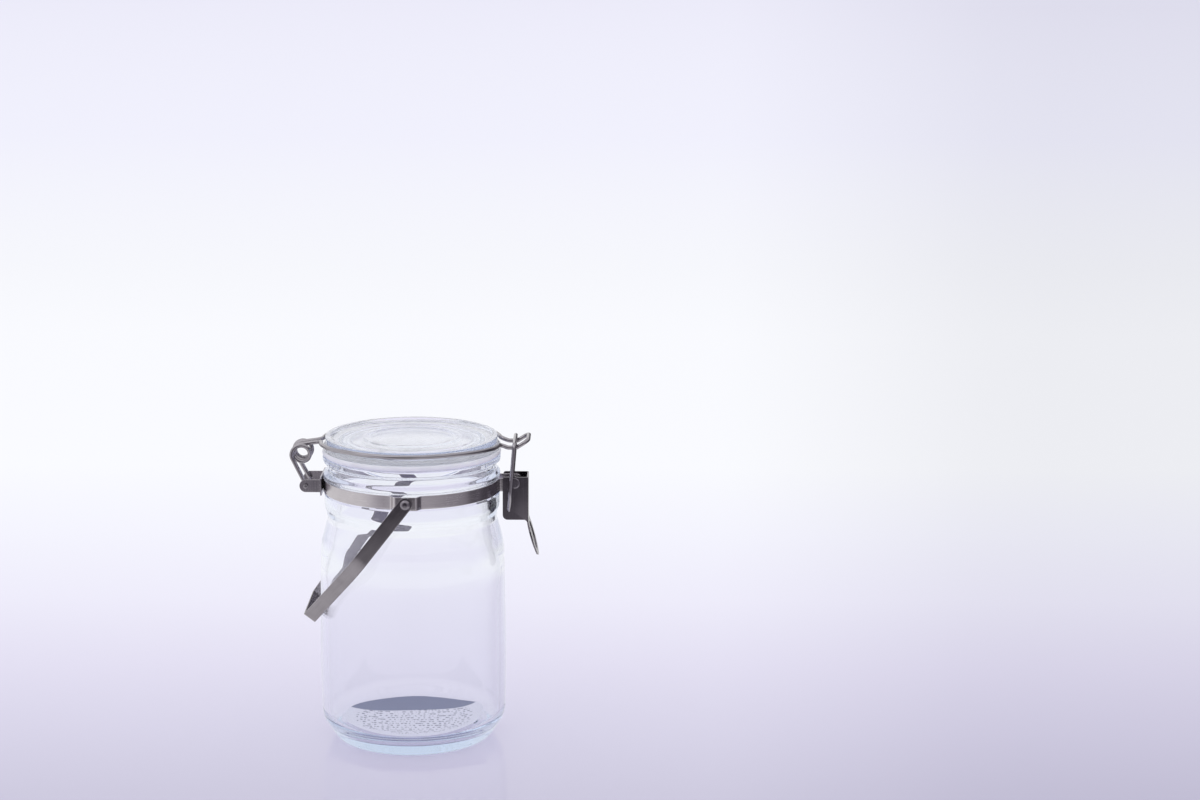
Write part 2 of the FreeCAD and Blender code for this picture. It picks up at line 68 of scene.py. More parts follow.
def rounded(corners, closed=False, steps=9):
    """Line through corners (point, radius): each corner is cut back by radius / tan(half its angle) on both
    runs, and an arc about point + inward * radius / sin(half) joins the cuts."""
    corners = np.array(corners, float)
    p, radius = corners[:, :-1], corners[:, -1].copy()
    if not closed:
        radius[[0, -1]] = 0
    to_back, to_ahead = np.roll(p, 1, 0) - p, np.roll(p, -1, 0) - p
    room = 0.499 * np.minimum(np.linalg.norm(to_back, axis=1), np.linalg.norm(to_ahead, axis=1))
    back, ahead = unit(to_back), unit(to_ahead)
    half = np.arccos(np.clip((back * ahead).sum(1), -1, 1)) / 2
    half = np.clip(half, 1e-5, np.pi / 2 - 1e-5)
    radius = np.minimum(radius, room * np.tan(half))
    inward = unit(back + ahead)
    middle = p + inward * (radius / np.sin(half))[:, None]
    first = -unit(inward - (inward * back).sum(1, keepdims=True) * back)
    last = -unit(inward - (inward * ahead).sum(1, keepdims=True) * ahead)
    sweep = np.pi - 2 * half
    s = np.linspace(0, 1, steps)[None, :, None]
    w = sweep[:, None, None]
    arc = (np.sin((1 - s) * w) * first[:, None] + np.sin(s * w) * last[:, None]) / np.sin(w)
    line = (middle[:, None] + radius[:, None, None] * arc).reshape(-1, p.shape[1])
    keep = np.r_[True, np.linalg.norm(np.diff(line, axis=0), axis=1) > 1e-3]
    return line[keep]


def spaced(line, longest):
    """The line with points added evenly along its length, so that no run is longer than longest."""
    s = np.r_[0, np.cumsum(np.linalg.norm(np.diff(line, axis=0), axis=1))]
    extra = np.arange(longest, s[-1], longest)
    extra = extra[np.abs(extra[:, None] - s).min(1) > longest / 4]
    t = np.sort(np.r_[s, extra])
    return np.stack([np.interp(t, s, c) for c in line.T], axis=1)


def turned(line, around=200):
    """Surface of revolution: (r cos a, r sin a, z) for each point (r, z) of the line and each angle a."""
    a = np.linspace(0, 2 * np.pi, around, endpoint=False)
    r, z = line[:, 0, None], line[:, 1, None]
    return np.stack([r * np.cos(a), r * np.sin(a), z + 0 * a], axis=-1)


def tangents(route):
    """Mean of the directions of the runs before and after each point."""
    run = unit(np.diff(route, axis=0))
    return unit(np.concatenate([run[:1], run[:-1] + run[1:], run[-1:]]))


def tube(route, radius, around=28, cap=0.35):
    """Round wire: route + radius * (cos a * side + sin a * rise), closed by a rounded cap at each end."""
    way = tangents(route)
    side = unit(np.cross(way, LEAN))
    rise = np.cross(side, way)
    t = np.linspace(0, np.pi / 2, 5)
    size = np.r_[0, radius - cap + cap * np.sin(t)]
    push = np.r_[0, cap * (1 - np.cos(t))]
    n = len(size)
    route = np.concatenate([
        route[:1] + way[:1] * push[:, None], route[1:-1], route[-1:] - way[-1:] * push[::-1, None],
    ])
    side = np.concatenate([side[:1].repeat(n, 0), side[1:-1], side[-1:].repeat(n, 0)])
    rise = np.concatenate([rise[:1].repeat(n, 0), rise[1:-1], rise[-1:].repeat(n, 0)])
    size = np.r_[size, np.full(len(route) - 2 * n, radius), size[::-1]]
    a = np.linspace(0, 2 * np.pi, around, endpoint=False)
    ring = np.cos(a)[:, None] * side[:, None] + np.sin(a)[:, None] * rise[:, None]
    return route[:, None] + size[:, None, None] * ring


def rounded_bar(half_side, half_rise, edge):
    """Closed section of a flat strip with rounded edges, as (side, rise)."""
    corners = [(s * half_side, r * half_rise, edge) for s, r in ((1, 1), (-1, 1), (-1, -1), (1, -1))]
    line = rounded(corners, closed=True, steps=5)
    return spaced(np.concatenate([line, line[:1]]), 0.9)[:-1]


def strip(route, section, rise, share=None):
    """Flat strip: route + side * section's side + rise * section's rise, where side is square to the route
    and share narrows the strip along it. The ends are closed to a point in their own plane."""
    way = tangents(route)
    side = unit(np.cross(rise, way))
    share = np.ones(len(route)) if share is None else share
    across = section[None, :, :1] * side[:, None]
    up = (share[:, None] * section[None, :, 1])[..., None] * rise
    grid = route[:, None] + across + up
    ends = [grid[i].mean(0) + 0 * grid[i] for i in (0, -1)]
    return np.concatenate([ends[0][None], grid, ends[1][None]])


def round_end(distance, half, corner):
    """Half width of a strip at a distance from its end, as a share of the full half width, for an end whose
    corners are arcs of the given radius."""
    d = np.clip(distance, 0, corner)
    return (half - corner + np.sqrt(corner ** 2 - (corner - d) ** 2)) / half


def piece(name, grids, body, node, material, sharp=35, wrap=(False, True)):
    """Mesh of quads between neighbouring points of the grids, in millimetres. Its UV map holds the distance
    along a grid and round it, in millimetres, from the first point."""
    points, quads, lays, count = [], [], [], 0
    for grid in grids:
        n, m = grid.shape[:2]
        index = count + np.arange(n * m).reshape(n, m)
        rows = np.r_[0:n, 0] if wrap[0] else np.r_[0:n]
        cols = np.r_[0:m, 0] if wrap[1] else np.r_[0:m]
        full = grid[rows][:, cols]
        along = np.linalg.norm(np.diff(full, axis=0), axis=-1).max(1)
        across = np.linalg.norm(np.diff(full, axis=1), axis=-1)[len(full) // 2]
        u = np.r_[0, np.cumsum(along)][:, None] + 0 * np.r_[0, across]
        v = np.r_[0, np.cumsum(across)] + 0 * u
        lay = np.stack([u, v], axis=-1)
        index = index[rows][:, cols]
        first, second = slice(0, -1), slice(1, None)
        corners = [(first, first), (second, first), (second, second), (first, second)]
        quads.append(np.stack([index[c] for c in corners], axis=-1).reshape(-1, 4))
        lays.append(np.stack([lay[c] for c in corners], axis=-2).reshape(-1, 2))
        points.append(grid.reshape(-1, 3))
        count += n * m
    points, quads, lays = np.concatenate(points) / 1000, np.concatenate(quads), np.concatenate(lays)
    mesh = bpy.data.meshes.new(name)
    mesh.from_pydata(points, [], quads)
    mesh.uv_layers.new(name="lay").data.foreach_set("uv", lays.astype(np.float32).ravel())
    return finished(name, mesh, body, node, material, sharp)


def finished(name, mesh, body, node, material, sharp):
    """Merges doubles, turns the faces outwards, smooths all but the sharp edges and puts the piece on its
    body."""
    work = bmesh.new()
    work.from_mesh(mesh)
    bmesh.ops.remove_doubles(work, verts=work.verts, dist=1e-6)
    bmesh.ops.dissolve_degenerate(work, edges=work.edges, dist=1e-7)
    bmesh.ops.recalc_face_normals(work, faces=work.faces)
    work.to_mesh(mesh)
    work.free()
    mesh.polygons.foreach_set("use_smooth", [True] * len(mesh.polygons))
    mesh.set_sharp_from_angle(angle=np.radians(sharp))
    mesh.materials.clear()
    mesh.materials.append(material)
    made = bpy.data.objects.new(name, mesh)
    bpy.context.scene.collection.objects.link(made)
    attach(made, body)
    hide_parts(node)
    return made


def pressed(node, body, material, bevel):
    """A copy of a pressed sheet from the CAD, with its flat faces joined up and its cut edges rounded."""
    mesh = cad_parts[node].data.copy()
    work = bmesh.new()
    work.from_mesh(mesh)
    bmesh.ops.remove_doubles(work, verts=work.verts, dist=1e-6)
    bmesh.ops.dissolve_limit(work, angle_limit=np.radians(0.5), verts=work.verts, edges=work.edges)
    work.to_mesh(mesh)
    work.free()
    made = finished(node + "_sheet", mesh, body, node, material, 180)
    edge = made.modifiers.new("edge", "BEVEL")
    edge.width, edge.segments, edge.limit_method, edge.angle_limit = bevel / 1000, 3, "ANGLE", np.radians(40)
    edge.harden_normals = True
    mesh.set_sharp_from_angle(angle=np.radians(40))
    return made


# ---- materials ----

def linear(code, alpha=1.0):
    """sRGB hex to linear RGBA: c / 12.92 below 0.04045, and ((c + 0.055) / 1.055) ** 2.4 above."""
    c = np.array([int(code[i:i + 2], 16) for i in (0, 2, 4)]) / 255
    c = np.where(c <= 0.04045, c / 12.92, ((c + 0.055) / 1.055) ** 2.4)
    return (*c, alpha)


def add(tree, kind, settings=None, **links):
    """Adds a node: settings go to its properties or its inputs, links join other sockets to its inputs, which
    are named, or numbered after an underscore."""
    node = tree.nodes.new(kind)
    for key, value in (settings or {}).items():
        if isinstance(key, str) and hasattr(node, key):
            setattr(node, key, value)
        else:
            node.inputs[key].default_value = value
    for key, socket in links.items():
        target = int(key[1:]) if key[1:].isdigit() else key.replace("_", " ")
        tree.links.new(socket, node.inputs[target])
    return node


def material(name):
    made = bpy.data.materials.new(name)
    made.use_nodes = True
    made.node_tree.nodes.clear()
    return made, made.node_tree


def ramp(tree, factor, stops):
    """Colour ramp with stops (place, hex)."""
    node = add(tree, "ShaderNodeValToRGB", Fac=factor)
    marks = node.color_ramp.elements
    while len(marks) < len(stops):
        marks.new(0.5)
    for mark, (place, code) in zip(marks, stops):
        mark.position, mark.color = place, linear(code)
    return node


def graded(tree, value, stops):
    """Colour that changes with a value, through stops (value, hex)."""
    first, last = stops[0][0], stops[-1][0]
    share = add(tree, "ShaderNodeMapRange", {1: first, 2: last}, _0=value).outputs[0]
    return ramp(tree, share, [((at - first) / (last - first), code) for at, code in stops]).outputs[0]


LAST_REFLECTION, LAST_BOUNCE = 3.5, 11.5    # just under the counts at which the renderer gives a ray up


def soda_lime_glass(name, tint, density, waves, depth, rough):
    """Soda-lime container glass, colourless in the wall and pale blue where it is seen edge on. It was blown
    or pressed in a mould, which leaves slow waves in the surface, waves mm long and depth mm deep, that bend
    the highlights. Light that falls on what is behind it goes straight through, so that it throws hardly any
    shadow, and so does light that has been thrown to and fro inside it."""
    made, tree = material(name)
    place = add(tree, "ShaderNodeTexCoord").outputs["Object"]
    noise = add(tree, "ShaderNodeTexNoise", {"Scale": 1000 / waves, "Detail": 1.0, "Roughness": 0.4},
                Vector=place)
    bump = add(tree, "ShaderNodeBump", {"Strength": 1.0, "Distance": depth / 1000},
               Height=noise.outputs["Fac"])
    shader = add(tree, "ShaderNodeBsdfPrincipled", {
        "Base Color": linear("FFFFFF"), "Roughness": rough, "IOR": 1.48, "Transmission Weight": 1.0,
    }, Normal=bump.outputs[0])
    path = add(tree, "ShaderNodeLightPath")
    falls = add(tree, "ShaderNodeMath", {"operation": "MAXIMUM"}, _0=path.outputs["Is Shadow Ray"],
                _1=path.outputs["Is Diffuse Ray"])
    trapped = add(tree, "ShaderNodeMath", {"operation": "GREATER_THAN", 1: LAST_REFLECTION},
                  _0=path.outputs["Glossy Depth"])
    old = add(tree, "ShaderNodeMath", {"operation": "GREATER_THAN", 1: LAST_BOUNCE},
              _0=path.outputs["Ray Depth"])
    late = add(tree, "ShaderNodeMath", {"operation": "MAXIMUM"}, _0=trapped.outputs[0], _1=old.outputs[0])
    straight = add(tree, "ShaderNodeMath", {"operation": "MAXIMUM"}, _0=falls.outputs[0], _1=late.outputs[0])
    through = add(tree, "ShaderNodeBsdfTransparent")
    surface = add(tree, "ShaderNodeMixShader", {}, _0=straight.outputs[0], _1=shader.outputs[0],
                  _2=through.outputs[0])
    volume = add(tree, "ShaderNodeVolumeAbsorption", {"Color": linear(tint), "Density": density})
    add(tree, "ShaderNodeOutputMaterial", Surface=surface.outputs[0], Volume=volume.outputs[0])
    return made


def stainless_sheet(name, light, dark, rough, grain, lay="lay"):
    """Cold-rolled stainless steel: fine lines along the rolling direction, drawn at twice their real spacing
    so that they show, and a soft satin reflection stretched across them."""
    made, tree = material(name)
    if lay:
        place = add(tree, "ShaderNodeUVMap", {"uv_map": lay}).outputs[0]
        size = (0.035, 1 / grain, 1.0)
    else:
        place = add(tree, "ShaderNodeTexCoord").outputs["Object"]
        size = (1000 / grain, 1000 / grain, 30.0)
    stretch = add(tree, "ShaderNodeMapping", {"Scale": size}, Vector=place)
    lines = add(tree, "ShaderNodeTexNoise", {"Scale": 1.0, "Detail": 3.0, "Roughness": 0.65},
                Vector=stretch.outputs[0])
    cloud_place = add(tree, "ShaderNodeTexCoord").outputs["Object"]
    cloud = add(tree, "ShaderNodeTexNoise", {"Scale": 140.0, "Detail": 4.0}, Vector=cloud_place)
    both = add(tree, "ShaderNodeMix", {"data_type": "FLOAT", 0: 0.35}, _2=lines.outputs["Fac"],
               _3=cloud.outputs["Fac"])
    colour = ramp(tree, both.outputs[0], [(0.3, dark), (0.7, light)])
    gloss = add(tree, "ShaderNodeMapRange", {1: 0.3, 2: 0.7, 3: rough - 0.06, 4: rough + 0.08},
                _0=both.outputs[0])
    bump = add(tree, "ShaderNodeBump", {"Strength": 0.5, "Distance": 0.00001}, Height=lines.outputs["Fac"])
    shader = add(tree, "ShaderNodeBsdfPrincipled", {"Metallic": 1.0, "Anisotropic": 0.4},
                 Base_Color=colour.outputs[0], Roughness=gloss.outputs[0], Normal=bump.outputs[0])
    add(tree, "ShaderNodeOutputMaterial", Surface=shader.outputs[0])
    return made


def drawn_wire(name):
    """Stainless spring wire, drawn through a die: bright, with faint lines along it that blur highlights."""
    made, tree = material(name)
    place = add(tree, "ShaderNodeUVMap", {"uv_map": "lay"}).outputs[0]
    stretch = add(tree, "ShaderNodeMapping", {"Scale": (0.06, 5.0, 1.0)}, Vector=place)
    lines = add(tree, "ShaderNodeTexNoise", {"Scale": 1.0, "Detail": 2.0}, Vector=stretch.outputs[0])
    colour = ramp(tree, lines.outputs["Fac"], [(0.3, "8A868C"), (0.7, "AEAAB0")])
    gloss = add(tree, "ShaderNodeMapRange", {1: 0.3, 2: 0.7, 3: 0.16, 4: 0.26}, _0=lines.outputs["Fac"])
    bump = add(tree, "ShaderNodeBump", {"Strength": 0.4, "Distance": 0.00001}, Height=lines.outputs["Fac"])
    shader = add(tree, "ShaderNodeBsdfPrincipled", {"Metallic": 1.0},
                 Base_Color=colour.outputs[0], Roughness=gloss.outputs[0], Normal=bump.outputs[0])
    add(tree, "ShaderNodeOutputMaterial", Surface=shader.outputs[0])
    return made


def clear_silicone():
    """Moulded silicone rubber, milky and half clear: light goes in and comes out softly, the skin is matt."""
    made, tree = material("moulded silicone")
    place = add(tree, "ShaderNodeTexCoord").outputs["Object"]
    cloud = add(tree, "ShaderNodeTexNoise", {"Scale": 90.0, "Detail": 3.0}, Vector=place)
    colour = ramp(tree, cloud.outputs["Fac"], [(0.3, "E3E3EB"), (0.7, "EFEFF6")])
    bump = add(tree, "ShaderNodeBump", {"Strength": 0.3, "Distance": 0.00004}, Height=cloud.outputs["Fac"])
    shader = add(tree, "ShaderNodeBsdfPrincipled", {
        "Roughness": 0.42, "IOR": 1.41, "Subsurface Weight": 0.3, "Subsurface Radius": (1.0, 1.0, 1.0),
        "Subsurface Scale": 0.002,
    }, Base_Color=colour.outputs[0], Normal=bump.outputs[0])
    add(tree, "ShaderNodeOutputMaterial", Surface=shader.outputs[0])
    return made


# the leaflet's print, in metres
ROW, WORD = 0.0034, 0.0016          # from row to row of the marks, and along a word
MARGIN = (0.036, 0.0345)            # the marks fade in between these distances from the middle
FIELD = (0.0143, 0.0147)            # y over which the slate field fades in, in the middle
FIELD_SLOPE = 0.1                   # how much further back it begins for each step towards the clamp


def printed_paper():
    """Uncoated paper with a pale ground, a slate field along its rear edge and rows of fine generic marks."""
    made, tree = material("printed paper")
    place = add(tree, "ShaderNodeTexCoord").outputs["Object"]
    fibre = add(tree, "ShaderNodeTexNoise", {"Scale": 1800.0, "Detail": 4.0}, Vector=place)
    ground = ramp(tree, fibre.outputs["Fac"], [(0.3, "D0D0E3"), (0.7, "DADAEA")])
    rows = add(tree, "ShaderNodeMapping", {"Scale": (1 / WORD, 1 / ROW, 1.0)}, Vector=place)
    ink = add(tree, "ShaderNodeTexNoise", {"Scale": 1.0, "Detail": 1.0}, Vector=rows.outputs[0])
    split = add(tree, "ShaderNodeSeparateXYZ", _0=place)
    line = add(tree, "ShaderNodeMath", {"operation": "MULTIPLY", 1: 2 * np.pi / ROW}, _0=split.outputs[1])
    wave = add(tree, "ShaderNodeMath", {"operation": "SINE"}, _0=line.outputs[0])
    on_row = add(tree, "ShaderNodeMapRange", {1: -0.1, 2: 0.3}, _0=wave.outputs[0])
    in_word = add(tree, "ShaderNodeMapRange", {1: 0.5, 2: 0.56}, _0=ink.outputs["Fac"])
    marks = add(tree, "ShaderNodeMath", {"operation": "MULTIPLY"}, _0=on_row.outputs[0],
                _1=in_word.outputs[0])
    centre = add(tree, "ShaderNodeVectorMath", {"operation": "LENGTH"}, _0=place)
    inner = add(tree, "ShaderNodeMapRange", {1: MARGIN[0], 2: MARGIN[1]}, _0=centre.outputs["Value"])
    marks = add(tree, "ShaderNodeMath", {"operation": "MULTIPLY"}, _0=marks.outputs[0], _1=inner.outputs[0])
    inked = add(tree, "ShaderNodeMix", {"data_type": "RGBA"}, _0=marks.outputs[0], _6=ground.outputs[0])
    inked.inputs[7].default_value = linear("85869F")
    edge = add(tree, "ShaderNodeMath", {"operation": "MULTIPLY_ADD", 1: -FIELD_SLOPE},
               _0=split.outputs[0], _2=split.outputs[1])
    field = add(tree, "ShaderNodeMapRange", {1: FIELD[0], 2: FIELD[1]}, _0=edge.outputs[0])
    slate = add(tree, "ShaderNodeMix", {"data_type": "RGBA"}, _0=field.outputs[0], _6=inked.outputs["Result"])
    slate.inputs[7].default_value = linear("797E9B")
    shader = add(tree, "ShaderNodeBsdfPrincipled", {"Roughness": 0.75, "Specular IOR Level": 0.3},
                 Base_Color=slate.outputs["Result"])
    add(tree, "ShaderNodeOutputMaterial", Surface=shader.outputs[0])
    return made


glass_blown = soda_lime_glass("soda-lime glass, blown", "86B4DE", 7.5, 26.0, 0.015, 0.0)
glass_pressed = soda_lime_glass("soda-lime glass, pressed", "8CB0E2", 8.0, 14.0, 0.015, 0.09)
steel_band = stainless_sheet("stainless strip, satin", "C9C4C8", "B4AFB3", 0.22, 0.18)
steel_handle = stainless_sheet("stainless strip, brushed", "9B969C", "7F7A80", 0.17, 0.22)
# painted shade: the lever is the same pressed stainless as the bracket, with its colour darkened to stand in
# for the dark surroundings that its sides reflect
lever_steel_painted_shade = stainless_sheet("stainless sheet, pressed", "7A757D", "656068", 0.18, 0.25, lay=None)
# painted light: the bracket's stainless is the lever's sheet with its colour lightened, standing in for the
# brighter surroundings that its face reflects
bracket_steel_painted_light = stainless_sheet("stainless sheet, pressed, lightened as painted light", "B4AFB6", "9A959D", 0.24, 0.25,
                                lay=None)
# painted shade: the rivet heads and the lever's pin get a darker stainless than the band, standing in for the
# dark surroundings that they reflect
headed_steel_painted_shade = stainless_sheet("stainless rod, cold headed", "8F8A92", "79747C", 0.16, 0.3, lay=None)
wire_bright = drawn_wire("stainless spring wire")
silicone = clear_silicone()
paper = printed_paper()

# ---- glass ----

def jar_wall():
    """Blown jar: hollowed foot, round heel, barrel side, shoulder, beaded neck and rim, then the inside."""
    seat = (BAND_MIDDLE - BAND_HALF - 0.5, BAND_MIDDLE + BAND_HALF + 0.5)
    outside = [
        (0, 2.6, 0), (32, 2.6, 5), (37, 0, 0.8), (41, 0, 3), (44.6, 1.2, 9), (52.3, 13.3, 14),
        (53.2, 42, 800),
        (52, 112, 40), (50.1, 120, 25), (48, 128, 6), (48, 131.4, 1.2), (49.5, 136, 8),
        (49.5, seat[0] - 0.9, 0.8), (48.9, seat[0], 0.2), (48.9, seat[1], 0.3), (49.8, seat[1] + 0.5, 0.6),
        (49.8, seat[1] + 2.4, 1.3), (47.8, seat[1] + 4.2, 1.6), (47.8, 160.6, 1.5), (50.1, 161.8, 0.9),
        (50.1, 165, 0.9),
    ]
    inside = [
        (43, 165, 1.2), (43, 135.5, 14), (46.2, 118, 30), (49.2, 98, 60), (49.2, 42, 800),
        (48.5, FLOOR_INSIDE + 6.5, 8), (42, FLOOR_INSIDE, 8), (0, FLOOR_INSIDE, 0),
    ]
    return turned(spaced(rounded(outside + inside), 2.2))


def lid_wall():
    """Pressed lid: plug ring below, flange on the gasket, a groove for the wire, upper edge, recess and a
    raised ring in the recess."""
    floor, under, low = LID_TOP - 1.3, LID_TOP - 6.5, GASKET_TOP - 4.6
    return turned(spaced(rounded([
        (0, under, 0), (35.1, under, 1.5), (35.9, low, 1.2), (39.6, low, 1.4), (40.6, GASKET_TOP, 0.6),
        (50.0, GASKET_TOP, 0.5), (50.0, GASKET_TOP + 1.7, 0.6), (48.2, GASKET_TOP + 3.7, 0.5),
        (48.2, LID_TOP - 1.3, 0.2), (48.5, LID_TOP - 1.0, 0.2), (48.5, LID_TOP, 0.8), (46.0, LID_TOP, 1.6),
        (43.6, floor, 1.2), (28.4, floor, 6), (26.4, floor + 0.25, 6), (25.0, floor + 0.25, 6),
        (23.0, floor, 6), (0, floor, 0),
    ]), 1.2))


def gasket_ring():
    """Soft ring with a full round outer edge."""
    inner, outer = 41.0, 50.2
    corners = [(inner, GASKET_BOTTOM, 0.5), (outer, GASKET_BOTTOM, 1.3), (outer, GASKET_TOP, 1.3),
               (inner, GASKET_TOP, 0.5)]
    line = rounded(corners, closed=True)
    return turned(spaced(np.concatenate([line, line[:1]]), 1.2)[:-1])


piece("jar_blown", [jar_wall()], "jar", "jar_glass", glass_blown, sharp=60)
piece("lid_pressed", [lid_wall()], "lid", "lid_glass", glass_pressed, sharp=60)
piece("gasket_ring", [gasket_ring()], "lid", "gasket", silicone, sharp=60, wrap=(True, True))

# ---- wire ----

COIL = np.array([-61.5, LID_TOP - 10.2])              # x and z of its middle
COIL_RADIUS, ARM_GROWTH, LEG_GROWTH = 4.4, 0.7, 1.4   # the coil opens towards its arm and towards its leg
HOOK_Z = LID_TOP - 5.3      # middle of the hook's wire
HOOK_GAP = 0.35             # between the hook and the link's bar over it


def on_coil(point, radius, side):
    """Angle at which a line from the point touches a turn of the coil: its own bearing plus or minus
    acos(radius / distance)."""
    off = np.array(point) - COIL
    return np.arctan2(off[1], off[0]) + side * np.arccos(radius / np.hypot(*off))


def both_sides(route):
    """The route and its mirror image in the XZ plane, back to the start."""
    return np.concatenate([route, route[::-1] * (1, -1, 1, 1)])


def lid_wire_route():
    """From an ear up the leg, once round the coil, along the arm, half way round the lid and out to the
    hook."""
    top, ring, spread, drop = LID_TOP - 2.0, 50.0, 0.7, 1.6
    arm, turns, leg, ear_end, hook = 3.0, 7.9, 9.1, 13.1, 9.1
    wide, low = ring + spread, top - drop
    left = -np.sqrt(wide ** 2 - arm ** 2)
    last = on_coil(HINGE, COIL_RADIUS + LEG_GROWTH, -1) + 2 * np.pi
    first = on_coil((left, low), COIL_RADIUS + ARM_GROWTH, 1)
    turn = (last + 2 * np.pi - first) % (2 * np.pi) + 2 * np.pi
    k = (np.arange(10)[::-1] + 0.5) / 10
    angle = first + k * turn
    reach = (COIL_RADIUS + ARM_GROWTH * (1 - k) ** 4 + LEG_GROWTH * k ** 4) / np.cos(turn / 20)
    y = -(arm + (turns - arm) * k)
    coil = np.stack([COIL[0] + reach * np.cos(angle), y, COIL[1] + reach * np.sin(angle), 0 * k + WIDEST],
                    axis=1)
    start, end = np.pi + np.arcsin(arm / wide), 2 * np.pi - np.arcsin(hook / wide)
    k = (np.arange(9) + 0.5) / 9
    angle = start + k * (end - start)
    share = np.maximum(0, np.abs(2 * k - 1) - 0.45) / (1 - 1 / 9 - 0.45)
    radius = (ring + spread * share) / np.cos((end - start) / 18)
    around = np.stack([radius * np.cos(angle), radius * np.sin(angle), top - drop * share, 0 * k + WIDEST],
                      axis=1)
    right = np.sqrt(wide ** 2 - hook ** 2)
    return both_sides(np.concatenate([
        [(HINGE[0], -ear_end, HINGE[1], 0), (HINGE[0], -leg, HINGE[1], 1.3)], coil,
        [(left, -arm, low, 3.4)], around,
        [(right, -hook, low, 3.4), (right + 4.6, -hook, HOOK_Z, 4), (59.3, -hook, HOOK_Z, 2.6),
         (65.8, -hook, HOOK_Z + 4.2, 3.6)],
    ]))


def link_route():
    """From an end in the lever, round the elbow, up the leg and along the bar."""
    bar_z = HOOK_Z + WIRE_RADIUS + LINK_RADIUS + HOOK_GAP
    return both_sides(np.array([
        (55.0, -6.0, 134.1, 0), (55.0, -10.5, 134.1, 3.0), (55.8, -15.8, 143.1, 9),
        (58.2, -14.2, bar_z, 2.4),
    ]))


lid_wire = tube(spaced(rounded(lid_wire_route(), steps=12), 1.0), WIRE_RADIUS)
link_wire = tube(spaced(rounded(link_route(), steps=16), 1.0), LINK_RADIUS)
piece("lid_wire_round", [lid_wire], "lid", "lid_wire", wire_bright)
piece("link_wire_round", [link_wire], "link", "latch_link", wire_bright)

# ---- band, handle and rivets ----

def arc_corners(radius, start, end, step=4.0):
    """Corners outside a circle in the XY plane whose widest bends follow it, from one angle to the other."""
    n = max(1, int(np.ceil(abs(end - start) / step)))
    turn = np.radians(end - start) / n
    angle = np.radians(start) + (np.arange(n) + 0.5) * turn
    reach = radius / np.cos(turn / 2)
    return [(x, y, WIDEST) for x, y in np.stack([reach * np.cos(angle), reach * np.sin(angle)], axis=1)]


def band_route():
    """Plan of the band: a turned end, round the neck with a pad at each rivet, and the other turned end."""
    catch, catch_end, pad_foot = 6.2, 61.8, 8.3
    root = np.degrees(np.arcsin(catch / BAND_RADIUS))
    foot = 90 - np.degrees(np.arccos(pad_foot / BAND_RADIUS))
    root_x = BAND_RADIUS * np.cos(np.radians(root))
    pad = np.array([(8.1, 49.1, 1.5), (5.9, 52.6, 1.2), (-5.9, 52.6, 1.2), (-8.1, 49.1, 1.5)])
    half = np.array([
        (catch_end, catch, 0), (root_x, catch, 1.1), *arc_corners(BAND_RADIUS, root + 1.5, 90 - foot - 0.5),
        *pad, *arc_corners(BAND_RADIUS, 90 + foot + 0.5, 180),
    ])
    line = spaced(rounded(np.concatenate([half, half[::-1] * (1, -1, 1)]), steps=5), 1.0)
    return np.c_[line, np.full(len(line), BAND_MIDDLE)]


def with_fine_ends(route, reach, step):
    """The route with close points near both ends, where a strip is rounded off."""
    s = np.r_[0, np.cumsum(np.linalg.norm(np.diff(route, axis=0), axis=1))]
    near = np.arange(0, reach, step)
    t = np.unique(np.r_[near, s[(s > reach) & (s < s[-1] - reach)], s[-1] - near])
    return np.stack([np.interp(t, s, c) for c in route.T], axis=1), np.minimum(t, t[-1] - t)


def neck_band_strip():
    route, from_end = with_fine_ends(band_route(), 3.6, 0.2)
    section = rounded_bar(SHEET / 2, BAND_HALF, 0.25)
    return strip(route, section, np.array([0, 0, 1.0]), round_end(from_end, BAND_HALF, 3.45))


ARM_HALF = 54.0             # from the middle plane to the middle of an arm's strap
ARM_RUN, GRIP_RUN = 46.8, 92.7      # from the rivets to the bend in an arm and to the grip
GRIP_HALF = 23.0
HANG = np.radians(37.75)    # how far the hanging handle leans from straight down, towards -X


def handle_bow():
    """Flat strap bent in a plane through the rivets, which leans by the hanging angle; round at both ends."""
    down = np.array([-np.sin(HANG), 0, -np.cos(HANG)])
    across = np.array([np.cos(HANG), 0, -np.sin(HANG)])
    line = rounded([
        (-ARM_HALF, -STRAP_HALF, 0), (-ARM_HALF, ARM_RUN, 24), (-GRIP_HALF, GRIP_RUN, 3),
        (GRIP_HALF, GRIP_RUN, 3), (ARM_HALF, ARM_RUN, 24), (ARM_HALF, -STRAP_HALF, 0),
    ], steps=12)
    line = spaced(line, 1.0)
    route = np.array([0, 0, BAND_MIDDLE]) + line[:, :1] * (0, 1, 0) + line[:, 1:] * down
    route, from_end = with_fine_ends(route, 4.0, 0.2)
    section = rounded_bar(STRAP_THICKNESS / 2, STRAP_HALF, 0.3)
    return strip(route, section, across, round_end(from_end, STRAP_HALF, 3.85))


def rivet(side):
    """Turned about the rivet's axis: domed head outside the strap, shank, and foot behind the pad."""
    line = rounded([
        (0, 51.5, 0), (2.5, 51.5, 0.2), (2.5, 52.2, 0), (1.6, 52.2, 0), (1.6, 54.75, 0), (2.9, 54.75, 0.15),
        (2.75, 55.4, 1.0), (1.7, 56.2, 1.8), (0, 56.35, 0),
    ], steps=6)
    shape = turned(spaced(line, 0.3), 64)
    return np.stack([shape[..., 0], side * shape[..., 2], BAND_MIDDLE + shape[..., 1]], axis=-1)


def pin():
    """Turned about the lever's pin: a low head at each end of the shank."""
    end, under_head, head, shank = 8.85, 7.95, 3.0, 2.0
    line = [(0, -end, 0), (head, -end, 0.5), (head, -under_head, 0), (shank, -under_head, 0),
            (shank, under_head, 0), (head, under_head, 0), (head, end, 0.5), (0, end, 0)]
    shape = turned(spaced(rounded(line, steps=6), 0.5), 64)
    return np.stack([LEVER_PIN[0] + shape[..., 0], shape[..., 2], LEVER_PIN[1] + shape[..., 1]], axis=-1)


